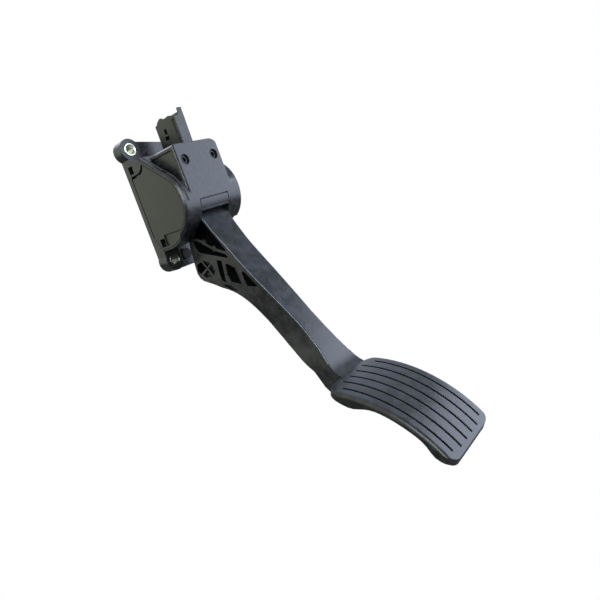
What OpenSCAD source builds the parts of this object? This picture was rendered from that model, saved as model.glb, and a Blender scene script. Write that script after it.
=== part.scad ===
// Electronic accelerator pedal module: a hanging arm with a slotted tread pad,
// carried by a drum-shaped housing that bolts to the toe board at three ears.
// The origin is the centre of the upper bolt sleeve on the mounting face,
// X runs across the car, -Y faces the driver and +Z is up.

/* [Mounting] */
// Depth from the arm's pivot back to the mounting face
pivot_depth = 32.3; // [31.5:0.1:34]
// Upper ear, distance left of the pedal's centre plane
ear_a_x = 24.8; // [23:0.1:26]
// Upper ear, height above the pivot
ear_a_z = 50.4; // [49:0.1:54]
// Lower ear, distance left of the centre plane
ear_b_x = 21.8; // [21:0.1:24]
// Lower ear, drop below the pivot
ear_b_z = 40.5; // [39:0.1:43]
// Right ear, distance right of the centre plane
ear_c_x = 38; // [37:0.1:42]
// Right ear, height above the pivot
ear_c_z = 4; // [0:0.5:8]
// Outer radius of an ear
ear_r = 8.5; // [7.5:0.1:9.5]
// Depth of an ear along its bolt
ear_depth = 11.1; // [9:0.1:12]
// Outer diameter of the steel sleeve in an ear
sleeve_d = 10; // [9:0.1:11]
// Bore of the sleeve, for an M6 bolt
bolt_bore_d = 7; // [6.4:0.1:7.4]
// How far a sleeve stands proud of its ear
sleeve_proud = 0.3; // [0.1:0.1:1]
// Thickness of the flange plate between the ears
flange_t = 4; // [3:0.1:5]

/* [Housing] */
// Outer radius of the drum round the pivot
drum_r = 25.4; // [24.6:0.1:26]
// Wall thickness of the mouldings
wall = 2.6; // [2.2:0.1:2.8]
// Left cheek plane, from the centre plane
cheek_x = 29.4; // [28.4:0.1:31]
// Right end plane of the drum, from the centre plane
cap_x = 28.2; // [27.4:0.1:30]
// Width of the slot that the arm swings in
slot_w = 29.2; // [29:0.1:29.8]
// Width of the upper block with the front plate
block_w = 44; // [43:0.5:46]
// Height of the upper block above the pivot
block_top = 39.5; // [39:0.1:41]
// Front plate, distance ahead of the pivot
front_y = 24; // [23.6:0.1:24.4]
// Corner radius of the front plate, left and right
plate_corner = [3, 8]; // [2:0.5:9]
// Thickness of the side covers
cover_t = 2.4; // [2:0.1:2.8]
// Gap round the side covers
seam = 0.45; // [0.25:0.05:0.5]
// Width of the open groove at the left cover's upper corner
groove_w = 2; // [1.4:0.1:2.2]
// Width of the bevel round the left cheek's edge
rim_r = 1.6; // [1:0.1:2]
// Radius of the block's front corners
block_r = 2.4; // [1.6:0.1:2.6]

/* [Front screws] */
// Distance between the two front screws
screw_gap = 28.6; // [27.6:0.1:29.4]
// Height of the front screws above the pivot
screw_z = 27.4; // [26.6:0.1:28.4]
// Screw head diameter
screw_head_d = 6.6; // [6:0.1:7]
// Screw shank diameter
screw_d = 3.5; // [3:0.1:4]
// Diameter of the sunk recess for a head
recess_d = 7.6; // [7.4:0.1:8.2]
// Depth of the recess
recess_depth = 3.4; // [2.6:0.1:3.6]

/* [Pivot] */
// Pivot pin diameter
pin_d = 8; // [7:0.1:9]
// Wall of the plain bearing bushes
bush_wall = 1.5; // [1.2:0.1:1.8]
// Flange thickness of a bush
bush_flange = 0.9; // [0.7:0.1:1]
// Running clearance between pin and bush, on the radius
run_fit = 0.03; // [0.02:0.01:0.06]
// Side play of the hub between its flanges and the housing
side_play = 0.1; // [0.08:0.01:0.15]
// Radius of the arm's hub and friction drum
hub_r = 15; // [14.6:0.1:15.4]
// Travel of the arm from its rest stop, degrees
travel = 16; // [12:0.5:17]

/* [Arm] */
// Half width of the arm at its top, neck and pad end
arm_half = [13.9, 9.9, 14]; // [9:0.1:14.2]
// Thickness of the arm's front wall
arm_front = 3.2; // [2.6:0.1:3.6]
// Thickness of the arm's side walls and ribs
rib_t = 2.4; // [2:0.1:2.8]
// Thickness of the middle web in the truss
web_t = 2.6; // [2:0.1:3.2]

/* [Pad] */
// Width of the tread pad
pad_w = 57; // [54:0.5:60]
// Distance of the pad's middle left of the arm's
pad_x = 8.3; // [6:0.1:9]
// Radius of the tread's crown, measured to its face
pad_r = 102; // [98:0.5:106]
// Start and end angle of the tread on its crown
pad_arc = [2.6, 57]; // [2:0.1:58]
// Thickness of the tread plate
pad_t = 3.6; // [3.4:0.1:4]
// Radius of the tread's long edges
edge_r = 2.8; // [2:0.1:3.1]
// Depth of the skirt below the tread face
skirt = 4.2; // [4:0.1:6]
// Depth of the ribs under the tread, from its face
tread_rib = 7; // [6:0.1:8]
// Number of slots in the tread
slots = 6; // [4:1:6]
// Pitch of the slots
slot_pitch = 8.4; // [8:0.1:8.8]
// Width of a slot
slot_cut = 1.9; // [1.6:0.1:2.2]

/* [Springs] */
// Clearance between the hub and the outer spring
spring_gap = 0.33; // [0.2:0.05:0.7]
// Distance of the springs left of the centre plane
spring_x = 7.4; // [7.2:0.1:7.6]
// Height of the arm's spring seat above the pivot
seat_z = 8; // [7.5:0.1:8.4]
// Height of the lever's spring seat above the pivot
lever_seat_z = 30; // [29.6:0.1:30.4]
// Outer spring, wire and outside diameter
spring_a = [1.8, 11.6]; // [1.4:0.1:11.8]
// Inner spring, wire and outside diameter
spring_b = [1.2, 6.6]; // [1:0.1:7]

/* [Connector] */
// Width of the connector shroud
plug_w = 9.4; // [8.8:0.1:9.6]
// Length of the connector shroud, front to back
plug_l = 26.5; // [26:0.1:27.5]
// Left face of the shroud, right of the centre plane
plug_x = 0.5; // [0.4:0.1:0.8]
// Front face of the shroud, ahead of the pivot
plug_y = 11.6; // [11:0.1:12]
// Height of the shroud's walls above the pivot
plug_top = 63.2; // [60:0.1:66]
// Wall of the shroud
plug_wall = 1.5; // [1.2:0.1:1.7]
// Number of terminals
ways = 6; // [4:1:6]
// Pitch of the terminals
way_pitch = 3.7; // [3.4:0.1:3.8]

/* [Hidden] */
$fn = 96;
e = 0.01;

slot_half = slot_w / 2;
block_half = block_w / 2;
inner_r = drum_r - wall;
mount_y = pivot_depth;
flange_y = mount_y - flange_t;
ear_y = mount_y - ear_depth;
inner_front = front_y - wall;
lean = asin((drum_r - 0.05) / norm([front_y, block_top])) - atan(front_y / block_top);
run_in = sqrt(pow(front_y, 2) + pow(block_top, 2) - pow(drum_r - 0.05, 2));
inner_top = block_top - wall;
wall_x = slot_half + wall;
hub_half = slot_half - side_play - bush_flange;
pin_r = pin_d / 2;
bush_r = pin_r + run_fit + bush_wall;
bush_l = 9;
bush_rim = 2;
cover_r = drum_r - 2.8;
ledge = 2;
flap_top = 186.5;
flap_end = 208;
lever_y = 4.5;
lever_z = lever_seat_z - 3.5;
lever_pin_r = 2.4;
plug_rib = spring_x - 5.1;
idle_z = seat_z - 3.4;
buffer_h = 4.5;
plug_mid = plug_x + plug_w / 2;
way_y = [for (i = [0:ways - 1]) -plug_y + plug_l / 2 + (i - (ways - 1) / 2) * way_pitch];
carrier_y = -inner_front + 2.6;
board_y = carrier_y + 3.4;
magnet_t = 2.8;
chip_gap = 2.25;
chip_z = sqrt(pow(hub_r + magnet_t + chip_gap, 2) - pow(board_y + 2.8, 2));
spring_y = sqrt(pow(hub_r, 2) - pow(seat_z + spring_a[0] / 2, 2)) + spring_a[1] / 2 + spring_gap;
lever_half = spring_a[1] / 2 - 1;
buffer_x = 5.5;
buffer_z = 39.2;
buffer_r = 4.4;
buffer_y = flange_y - 3;

// Centres of the three ears in the front view
ears = [[-ear_a_x, ear_a_z], [-ear_b_x, -ear_b_z], [ear_c_x, ear_c_z]];

// The left cheek's slope runs up at this angle, tangent to the drum
slope = 38.4;
shoulder_z = ear_a_z - ear_r - 0.9;
shoulder_y = (shoulder_z * sin(90 - slope) - drum_r) / sin(slope);
heel_z = -(ear_b_z - ear_r - 0.4);

// Rear edge of the left cover and the curve of its upper corner, inset by w
cover_rear = mount_y - 5.5;
cover_top = 28.4;
function corner(w) = bend([[shoulder_y - 3.4 + 0.9 * w, shoulder_z - 6.4 + 0.5 * w],
    [shoulder_y - 1.4 + 0.9 * w, 30.6 + 0.7 * w], [12.4 + 0.8 * w, cover_top + w], [19, cover_top + w]], 7);

// Side view of the arm: front curve, heel and rear curve, all about the pivot
front_line = bend([[-18.2, -15.5], [-36, -56], [-72, -97], [-95, -141.7]], 24);
rear_line = bend([[-80, -147], [-47, -119], [-46, -84], [-11, -73]], 18);
inward = arm_front * [0.85, -0.53];

// The tread's crown, its middle angle and its length as the crow flies
pad_c = [-100, -150.8 - pad_r];
pad_mid = (pad_arc[0] + pad_arc[1]) / 2;
pad_len = 2 * pad_r * sin((pad_arc[1] - pad_arc[0]) / 2);

// Black glass-filled nylon, its shaded parts, plated steel, brass and rubber
nylon = "#4a4d55";
nylon_dark = "#2d2e2b";
steel = "#c9cbcc";
spring_steel = "#8d9094";
rubber = "#1b1b1c";

// Puts the pivot where it belongs, seen from the upper bolt
module at_pivot() {
    translate([ear_a_x, -pivot_depth, -ear_a_z]) children();
}

// Extrudes a side view, drawn as Y and Z, from x0 to x1
module across(x0, x1) {
    translate([x0, 0, 0]) rotate([90, 0, 90]) linear_extrude(x1 - x0) children();
}

// Extrudes a front view, drawn as X and Z, from y0 to y1
module along(y0, y1) {
    translate([0, y1, 0]) rotate([90, 0, 0]) linear_extrude(y1 - y0) children();
}

// Round bar across the car from x0 to x1
module bar_x(r, x0, x1) {
    translate([x0, 0, 0]) rotate([0, 90, 0]) cylinder(r = r, h = x1 - x0);
}

// Round bar front to back from y0 to y1
module bar_y(r, y0, y1) {
    translate([0, y0, 0]) rotate([-90, 0, 0]) cylinder(r = r, h = y1 - y0);
}

// Side view of a ring sector between two radii and two angles
module sector(r0, r1, a0, a1) {
    difference() {
        intersection() {
            circle(r1);
            polygon(concat([[0, 0]], [for (i = [0:6]) let (a = a0 + (a1 - a0) * i / 6)
                1.2 * r1 * [cos(a), sin(a)]]));
        }
        circle(r0);
    }
}

// Points of a cubic curve through its four control points
function bend(p, n) = [for (i = [0:n]) let (t = i / n)
    pow(1 - t, 3) * p[0] + 3 * t * pow(1 - t, 2) * p[1] + 3 * t * t * (1 - t) * p[2] + pow(t, 3) * p[3]];

// Side view of the left half of the housing, without its drum, its front edge inset by d
module cheek_profile(d) {
    polygon([(drum_r - 0.2 - d) * [-sin(slope), cos(slope)], [shoulder_y + d / sin(slope), shoulder_z],
        [mount_y, shoulder_z], [mount_y, heel_z], [9.7, heel_z], [2.6, heel_z + 1.3], [-4.9, heel_z + 4.2],
        (drum_r - 0.2 - d) * [cos(247), sin(247)], [0, 0]]);
}

// Round groove of radius r that follows the drum and the slope, its middle at radius c and at x
module follow_rim(r, c, x) {
    translate([x, 0, 0]) rotate([0, 90, 0]) rotate_extrude() translate([c, 0]) circle(r, $fn = 48);
    along_slope(c, -0.3) translate([x, 0]) circle(r - 0.02);
}

// Extrudes a section along the slope, from the point where it leaves the drum at radius c to the shoulder
module along_slope(c, start) {
    intersection() {
        translate([0, -c * sin(slope), c * cos(slope)]) rotate([slope - 90, 0, 0])
            translate([0, 0, start]) linear_extrude(60) children();
        translate([-60, -60, 0]) cube([60, 120, shoulder_z]);
    }
}

// Side view of the left cover, inset by d
module cover_profile(d) {
    circle(cover_r - d);
    offset(delta = -d) polygon(concat([cover_r * [-sin(slope), cos(slope)]], corner(0),
        [[cover_rear, cover_top], [cover_rear, -19], [cover_rear - 5.5, heel_z + 1.4], [9.7, heel_z + 1.4],
        [2.6, heel_z + 2.7], [-4.9, heel_z + 5.6], cover_r * [cos(244), sin(244)], [0, 0]]));
}

// Side view of the right half of the housing, without its drum
module right_profile() {
    polygon([(drum_r - 0.2) * [-sin(slope), cos(slope)],
        [shoulder_y - 2, block_top - 1], [mount_y, block_top - 1],
        [mount_y, heel_z + 6], [12, heel_z + 8], (drum_r - 0.2) * [cos(280), sin(280)], [0, 0]]);
}

// Front view of the flange plate with its three ears
module flange_profile() {
    for (p = ears) translate(p) circle(ear_r);
    polygon([ears[0] + ear_r * [0.15, 0.98], [14, block_top + 14.3], [block_half + 1, block_top],
        ears[2] + ear_r * [0.71, 0.71], ears[2] + ear_r * [0.34, -0.94], [block_half, heel_z],
        [6, -ear_b_z - ear_r], ears[1] - [0, ear_r], ears[1] - [ear_r - 0.9, 0],
        [-cheek_x, heel_z], [-cheek_x, shoulder_z]]);
}

// Front view of the upper block, its top corners rounded
module plate_profile() {
    c = plate_corner;
    translate([-block_half, -4]) square([block_w, block_top + 4 - c[1]]);
    translate([-block_half, 0]) square([block_w - c[1], block_top - c[0]]);
    translate([-block_half + c[0], 0]) square([block_w - c[0] - c[1], block_top]);
    translate([-block_half + c[0], block_top - c[0]]) circle(c[0]);
    translate([block_half - c[1], block_top - c[1]]) circle(c[1]);
}

// Plan of the upper block, its front leaning until it runs into the drum without a step
module block_plan() {
    c = block_half - block_r;
    translate([0, -front_y, block_top]) rotate([-lean, 0, 0]) translate([0, 0, -run_in])
        linear_extrude(run_in + 4) {
        translate([-block_half, block_r]) square([block_w, mount_y + front_y + 6]);
        translate([-c, 0]) square([2 * c, mount_y + front_y]);
        for (s = [-1, 1]) translate([s * c, block_r]) circle(block_r);
    }
}

// The main moulding: drum, upper block, flange and ears in one piece
module housing() {
    color(nylon) at_pivot() difference() {
        union() {
            difference() {
                housing_outside();
                arm_well();
                left_chamber();
                right_chamber();
                block_hollow();
                side_recess();
            }
            housing_inside();
        }
        for (s = [-1, 1]) translate([s * screw_gap / 2, 0, screw_z]) screw_hole();
        for (p = ears) translate([p[0], 0, p[1]]) bar_y(sleeve_d / 2, ear_y - 1, mount_y + 1);
        bar_x(pin_r, -cheek_x - 1, wall_x + 1.4);
        translate([0, lever_y, lever_z]) bar_x(lever_pin_r, -slot_half - 1.6, 0);
    }
}

// Outer form of the housing
module housing_outside() {
    // drum and left cheek with a bevelled edge and a groove beside it
    difference() {
        union() {
            bar_x(drum_r, -cheek_x + rim_r, cap_x);
            translate([-cheek_x, 0, 0]) rotate([0, 90, 0])
                cylinder(r1 = drum_r - rim_r, r2 = drum_r, h = rim_r);
            across(-cheek_x + rim_r, -slot_half + 1) cheek_profile(0);
            across(-cheek_x, -cheek_x + rim_r + 1) cheek_profile(rim_r);
            along_slope(drum_r, 0) translate([-cheek_x + 0.1, 0]) polygon([[rim_r, 0.25], [0, rim_r + 0.35],
                [rim_r, rim_r + 0.35]]);
        }
        intersection() {
            follow_rim(1, drum_r + 0.2, -cheek_x + 2 * rim_r + 1);
            translate([-60, -60, -2]) cube([60, 72, 60]);
        }
    }
    across(slot_half - 1, cap_x) right_profile();
    intersection() {
        along(-drum_r - 1, mount_y) plate_profile();
        block_plan();
    }
    along(flange_y, mount_y) flange_profile();
    for (p = ears) translate([p[0], 0, p[1]]) bar_y(ear_r, ear_y, mount_y);
    along(ear_y, mount_y) polygon([[-cheek_x, shoulder_z - 1], [-cheek_x, ear_a_z - 6],
        [-ear_a_x, ear_a_z], [-ear_a_x + ear_r - 0.5, ear_a_z - 3], [-ear_a_x + ear_r, shoulder_z - 1]]);
    along(ear_y, mount_y) polygon([[-cheek_x, heel_z + 1], [-ear_b_x - ear_r + 1, -ear_b_z],
        [-ear_b_x, -ear_b_z], [-ear_b_x + ear_r, -ear_b_z + 2], [-slot_half, heel_z + 1]]);
    along(ear_y + 4, mount_y) translate([cap_x - 4, ear_c_z - ear_r]) square([10, 2 * ear_r - 2]);
}

// Sunk recess and clearance hole of a front screw
module screw_hole() {
    bar_y(recess_d / 2, -drum_r - 1, -front_y + recess_depth);
    bar_y(screw_d / 2 + 0.25, -front_y, -inner_front + 4);
}

// Space in which the arm's hub and upper end swing, open below
module arm_well() {
    across(-slot_half, slot_half) union() {
        circle(inner_r);
        polygon([[-inner_front, 6], [-inner_front, inner_top], [flange_y, inner_top],
            [flange_y, -80], [-60, -80], 2.4 * drum_r * [cos(flap_top), sin(flap_top)], [0, 0]]);
    }
}

// Chamber behind the left cover, with the ledge that the cover sits on
module left_chamber() {
    across(-cheek_x - 1, -cheek_x + cover_t) cover_profile(-seam);
    across(-cheek_x, -wall_x) intersection() {
        cover_profile(ledge);
        translate([-40, -26]) square([64, 60]);
    }
    // open groove round the cover's upper corner
    across(-cheek_x - 1, -cheek_x + cover_t) polygon(concat(corner(groove_w),
        [[cover_rear, cover_top + groove_w],
        [cover_rear, cover_top - 1], [14, cover_top - 1], [shoulder_y - 3.4, shoulder_z - 8]]));
    // clip window above the cover
    translate([-cheek_x - 1, mount_y - 11.6, 32]) cube([5, 6.2, 5.8]);
}

// Chamber behind the right end cap, and the clip notch in its rim
module right_chamber() {
    bar_x(cover_r + seam, cap_x - cover_t, cap_x + 1);
    bar_x(cover_r - ledge, wall_x, cap_x);
    rotate([250 - 270, 0, 0]) translate([cap_x - 3, -3.2, -drum_r - 1]) cube([4, 6.4, 2.4]);
}

// Pockets beside the arm well for the screw bosses, and the hole for the connector
module block_hollow() {
    translate([-block_half + wall + 0.7, -inner_front, screw_z - 5])
        cube([block_half - wall - slot_half, 13, inner_top - screw_z + 5]);
    translate([slot_half - 1, -inner_front, screw_z - 5])
        cube([block_half - wall - slot_half + 1, flange_y + inner_front, inner_top - screw_z + 5]);
    translate([plug_x - seam, -plug_y - seam, inner_top - 1])
        cube([plug_w + 2 * seam, plug_l + 2 * seam, wall + 2]);
}

// Sunk triangle on the block's left side
module side_recess() {
    across(-block_half - 1, -block_half + 1.6) offset(r = 1.2) polygon([[-20.6, block_top - 4.6],
        [6.4, block_top - 4.4], [-20.6, 12.4]]);
}

// Bosses, ledge and bearing rib inside the housing
module housing_inside() {
    // screw bosses behind the front plate
    for (s = [-1, 1]) translate([s * screw_gap / 2, 0, screw_z])
        bar_y(recess_d / 2 + 1.4, -inner_front - 1, carrier_y);
    // rib that carries the lever pin's right end
    translate([-plug_rib, 0, 0]) across(0, 1.6) polygon([[lever_y - 5.2, lever_z - 4],
        [lever_y + 5.2, lever_z - 4], [lever_y + 6, inner_top + 1], [lever_y - 6, inner_top + 1]]);
    // ledge under the arm's nose, with the seat of the idle buffer
    across(-spring_x - 6, -spring_x + 6) polygon([[flange_y + 1, idle_z - buffer_h],
        [spring_y - 0.6, idle_z - buffer_h],
        [spring_y - 0.6, idle_z - buffer_h - wall], [flange_y + 1, idle_z - 12]]);
}

// Flat side plate that closes the left chamber
module cheek_cover() {
    color(nylon_dark) at_pivot() difference() {
        across(-cheek_x, -cheek_x + cover_t) cover_profile(0);
        // sunk lower panel
        across(-cheek_x - 1, -cheek_x + 1) intersection() {
            cover_profile(1.6);
            translate([-30, -60]) square([43.4, 40.3]);
        }
        // groove along the step and clip window
        translate([-cheek_x - 1, -14, -20.3]) cube([2.6, 27, 0.6]);
        translate([-cheek_x - 1, 14, -28.6]) cube([cover_t + 2, 6.4, 6.4]);
    }
}

// Round plate that closes the right end of the drum
module end_cap() {
    color(nylon) at_pivot() difference() {
        bar_x(cover_r, cap_x - cover_t, cap_x);
        bar_x(cover_r - 5, cap_x - 1, cap_x + 1);
    }
}

// Curved tongue that fills the top of the arm slot, tucked behind the drum's wall
module slot_cover() {
    color(nylon) at_pivot() across(-slot_half + 0.6, slot_half - 0.6) difference() {
        union() {
            sector(inner_r + 0.1, drum_r, flap_top + 1.4, flap_end);
            sector(inner_r - 2.4, inner_r - 0.1, flap_top - 26.5, flap_end);
            sector(inner_r - 0.4, inner_r + 0.4, flap_top + 1.4, flap_end);
        }
        // groove above the lip
        sector(drum_r - 0.6, drum_r + 1, flap_end - 4.6, flap_end - 3.2);
    }
}

// Sensor carrier with the connector shroud that stands out of the block
module connector_body() {
    flange_z = inner_top - 3.2;
    color(nylon_dark) at_pivot() difference() {
        union() {
            // plate behind the front wall and its two screw bosses
            along(carrier_y, carrier_y + 2.2) translate([-screw_gap / 2 - 3.8, screw_z - 4.3])
                square([screw_gap + 7.6, inner_top - screw_z + 3.8]);
            for (s = [-1, 1]) translate([s * screw_gap / 2, 0, screw_z])
                bar_y(3.7, carrier_y, carrier_y + 9);
            // pads that the board sits on
            for (s = [-1, 1]) translate([s * 7 - 1, carrier_y, screw_z - 5])
                cube([2, board_y - carrier_y, 8]);
            // foot of the shroud
            translate([plug_x - 0.8, carrier_y, flange_z])
                cube([plug_w + 1.6, plug_l - plug_y - carrier_y + 0.8, 1.8]);
            // shroud: a tube with a tall front corner, a bumped left wall and a high right wall
            translate([plug_x, -plug_y, flange_z]) cube([plug_w, plug_l, plug_top - flange_z]);
            along(-plug_y, -plug_y + plug_wall) polygon([[plug_x + 3.6, plug_top - 1],
                [plug_x + 4.4, plug_top + 0.4], [plug_x + 5.6, plug_top + 3],
                [plug_x + 5.8, plug_top + 5.6], [plug_x + plug_w, plug_top + 5.6],
                [plug_x + plug_w, plug_top - 1]]);
            across(plug_x + plug_w - plug_wall, plug_x + plug_w) polygon([[-plug_y, plug_top - 1],
                [-plug_y, plug_top + 5.6], [-plug_y + plug_wall, plug_top + 5.6],
                [-plug_y + 3, plug_top + 3.4],
                [plug_l - plug_y - 7.5, plug_top + 3.4], [plug_l - plug_y - 7.5, plug_top - 1]]);
            across(plug_x, plug_x + plug_wall) polygon([[-plug_y + 2, plug_top - 1],
                [-plug_y + 3, plug_top + 0.8],
                [-4, plug_top + 2], [-0.4, plug_top + 1.6], [3.4, plug_top + 1.8], [5.4, plug_top + 3.3],
                [7.6, plug_top + 3.3], [11.4, plug_top + 1.4], [13.4, plug_top - 1]]);
        }
        // socket
        translate([plug_x + plug_wall, -plug_y + plug_wall, 44])
            cube([plug_w - 2 * plug_wall, plug_l - 2 * plug_wall, 40]);
        // groove beside the front wall and two latch holes
        translate([plug_x - 1, -plug_y + plug_wall, block_top + 0.6])
            cube([1.8, 3, plug_top - block_top - 0.6 - 2]);
        translate([plug_x - 1, 2.9, plug_top - 9.6]) cube([plug_wall + 2, 3.4, 4]);
        translate([plug_x - 1, 2.7, plug_top - 14]) cube([plug_wall + 2, 5.3, 3]);
        for (s = [-1, 1]) translate([s * screw_gap / 2, 0, screw_z])
            bar_y(screw_d / 2 + 0.05, carrier_y - 1, carrier_y + 8);
        for (y = way_y) translate([plug_mid - 0.35, y - 0.85, flange_z - 1]) cube([0.7, 1.7, 20]);
    }
}

// Gasket between the shroud's foot and the top wall of the block
module connector_seal() {
    color(rubber) at_pivot() difference() {
        translate([plug_x - 0.8, -plug_y - 0.8, inner_top - 1.4]) cube([plug_w + 1.6, plug_l + 1.6, 1.4]);
        translate([plug_x, -plug_y, inner_top - 2]) cube([plug_w, plug_l, 3]);
    }
}

// Bent brass terminals, from the board's top up into the shroud
module terminals() {
    color("#c8a04a") at_pivot() for (i = [0:ways - 1]) {
        leg_z = inner_top - 4.6 - i * 1.3;
        translate([plug_mid - 0.3, way_y[i] - 0.75, leg_z]) cube([0.6, 1.5, plug_top - 7.2 - leg_z]);
        translate([plug_mid - 0.3, board_y + 1.6, leg_z]) cube([0.6, way_y[i] - board_y - 1.6, 0.8]);
    }
}

// Sensor circuit board
module sensor_board() {
    color("#1f5a3a") at_pivot()
        translate([-10, board_y, chip_z - 1]) cube([20, 1.6, inner_top - 2.4 - chip_z]);
}

// Position sensor chip that faces the magnet
module sensor_chip() {
    color("#16171a") at_pivot() translate([5.6, board_y + 1.6, chip_z]) cube([5, 1.2, 4.2]);
}

// Six-lobed driver socket, front view
module star(r) {
    circle(r * 0.72);
    for (i = [0:5]) rotate(i * 60) translate([r * 0.62, 0]) circle(r * 0.34);
}

// Pan-head screw with a six-lobed socket, its head towards the driver
module front_screw(side) {
    color("#2b2c30") at_pivot() translate([side * screw_gap / 2, 0, screw_z]) difference() {
        union() {
            bar_y(screw_head_d / 2, -front_y + recess_depth - 2.3, -front_y + recess_depth);
            bar_y(screw_d / 2, -front_y + recess_depth - e, carrier_y + 7.6);
        }
        along(-front_y, -front_y + recess_depth - 0.9) star(screw_head_d * 0.29);
    }
}

module front_screw_left() {
    front_screw(-1);
}

module front_screw_right() {
    front_screw(1);
}

// Steel sleeve that takes the bolt's clamping load
module sleeve(p) {
    color(steel) at_pivot() translate([p[0], 0, p[1]]) difference() {
        bar_y(sleeve_d / 2, ear_y - sleeve_proud, mount_y);
        bar_y(bolt_bore_d / 2, ear_y - sleeve_proud - 1, mount_y + 1);
    }
}

module sleeve_upper() {
    sleeve(ears[0]);
}

module sleeve_lower() {
    sleeve(ears[1]);
}

module sleeve_right() {
    sleeve(ears[2]);
}

// Steel pivot pin with a thin head in the left chamber
module pivot_pin() {
    color(steel) at_pivot() {
        bar_x(pin_r, -wall_x - e, wall_x + 1.4);
        bar_x(pin_r + 2, -wall_x - 1.6, -wall_x);
    }
}

// Flanged plain bearing pressed into one end of the hub
module bush(side) {
    color("#b0894d") at_pivot() mirror([side < 0 ? 1 : 0, 0, 0]) difference() {
        union() {
            bar_x(bush_r, hub_half - bush_l, hub_half + e);
            bar_x(bush_r + bush_rim, hub_half, hub_half + bush_flange);
        }
        bar_x(pin_r + run_fit, hub_half - bush_l - 1, slot_half);
    }
}

module bush_left() {
    bush(-1);
}

module bush_right() {
    bush(1);
}

// Side view of the arm, its tip tucked under the tread
module arm_side() {
    polygon(concat([[0, -2], [-13.6, -6.5]], front_line,
        [[-96.6, -144.4], [-98.6, -147], [-101, -149.2], [-103.6, -150.9], [-112, -157.5], [-118, -162],
        [-116, -168],
        [-106, -171], [-93, -168], [-85.5, -159]], rear_line,
        [[-3, -69], [8.2, -64.4], [11.4, -61.6], [13, -57.6], [12.4, -51], [10, -38], [7.4, -30],
        [9, -12]]));
}

// Front view of the arm, narrower at its neck, inset by d
module arm_taper(d) {
    half = [[arm_half[0], 0], [arm_half[0], -18], [arm_half[0] - 1.7, -44], [arm_half[0] - 1.9, -70],
        [arm_half[1], -107], [arm_half[1] + 0.3, -120], [arm_half[1] + 1.4, -131],
        [arm_half[2] - 0.7, -141],
        [arm_half[2], -148], [arm_half[2], -190]];
    polygon(concat([for (p = half) [p[0] - d, p[1]]],
        [for (i = [len(half) - 1:-1:0]) [d - half[i][0], half[i][1]]]));
}

// The deep pockets between the truss ribs, side view
module deep_pockets() {
    offset(r = 0.5, $fn = 16) {
        // either side of the wavy rib
        polygon([[-12, -12], [-16.2, -18.6], [-21.8, -28.2], [-26, -36.4], [-29.6, -45],
            [-28.8, -45.2], [-18.8, -40.4],
            [-14.7, -37.8], [-9.9, -33.6], [-7.6, -32], [-3, -29.3], [3.6, -28.2], [5, -12]]);
        polygon([[3.4, -31.6], [-1.8, -32.6], [-6.2, -35.2], [-13.2, -40.9], [-17.5, -43.6], [-28.4, -48.6],
            [-29.4, -50.8], [-21.6, -48.2], [-10.4, -44.6], [0.8, -40.9], [2.4, -37.1]]);
        // along the rear of the arm
        polygon([[-16.4, -51.3], [-21, -52.4], [-20, -57.5], [-18, -67.2], [-18.6, -69.2], [-14.5, -67],
            [-14.2, -62]]);
        polygon([[-24.8, -55.8], [-27, -56], [-33, -60.2], [-34.1, -72.8], [-24.5, -69.5], [-22.9, -64.3]]);
        polygon([[-39.4, -64.4], [-41.9, -65.2], [-49.4, -77.1], [-40, -75.4], [-39.2, -68.9]]);
        polygon([[9.2, -50.8], [3.4, -49.4], [0, -54.4], [8.2, -57.8], [10.8, -56]]);
    }
}

// The shallow pockets round the crossed ribs at the heel, side view
module shallow_pockets() {
    offset(r = 0.5, $fn = 12) {
        polygon([[0.4, -48.6], [-6.6, -51.8], [-2, -53.8]]);
        polygon([[-8.6, -53.8], [-3.6, -55.4], [-6.8, -61.2], [-9.2, -59]]);
        polygon([[-1.4, -57], [5.6, -60], [3.2, -61.8], [-4.2, -62]]);
        polygon([[-14.8, -71.3], [-21, -72.7], [-27, -77.6], [-20.8, -75.5]]);
    }
}

// Solid arm with its truss pockets and the channel open to the rear
module arm_beam() {
    difference() {
        intersection() {
            across(-arm_half[0], arm_half[0]) arm_side();
            along(-130, 40) arm_taper(0);
        }
        for (s = [0, 1]) mirror([s, 0, 0]) {
            across(web_t / 2, arm_half[0] + 1) deep_pockets();
            across(arm_half[0] - 4.4, arm_half[0] + 1) shallow_pockets();
        }
        // channel behind the front wall, with cross ribs
        difference() {
            intersection() {
                across(-20, 20) polygon(concat([for (i = [15:24]) front_line[i] + inward],
                    [[-96, -153], [-84, -171], [-40, -150], [-28, -96], [-47, -88]]));
                along(-130, 0) arm_taper(rib_t);
            }
            for (p = [[-60, -106], [-71, -122], [-81, -139]]) across(-20, 20)
                translate(p) rotate(-36) translate([-20, -rib_t / 2]) square([40, rib_t]);
        }
    }
    // ejector bosses on the wavy rib
    for (p = [[-8.4, -34.6], [-17.6, -41.6]]) translate([0, p[0], p[1]]) difference() {
        bar_x(2.3, -arm_half[0] + 1.8, arm_half[0] - 1.8);
        bar_x(1.3, -arm_half[0] + 1, -web_t / 2);
        bar_x(1.3, web_t / 2, arm_half[0]);
    }
}

// Depth of the pad's skirt at an angle from the crown: deeper beside the arm and near the lower end
function skirt_at(a) = skirt + 4.8 * exp(-pow((a - 14) / 7, 2)) + 2.8 * exp(-pow((a - 51) / 4, 2));

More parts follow.
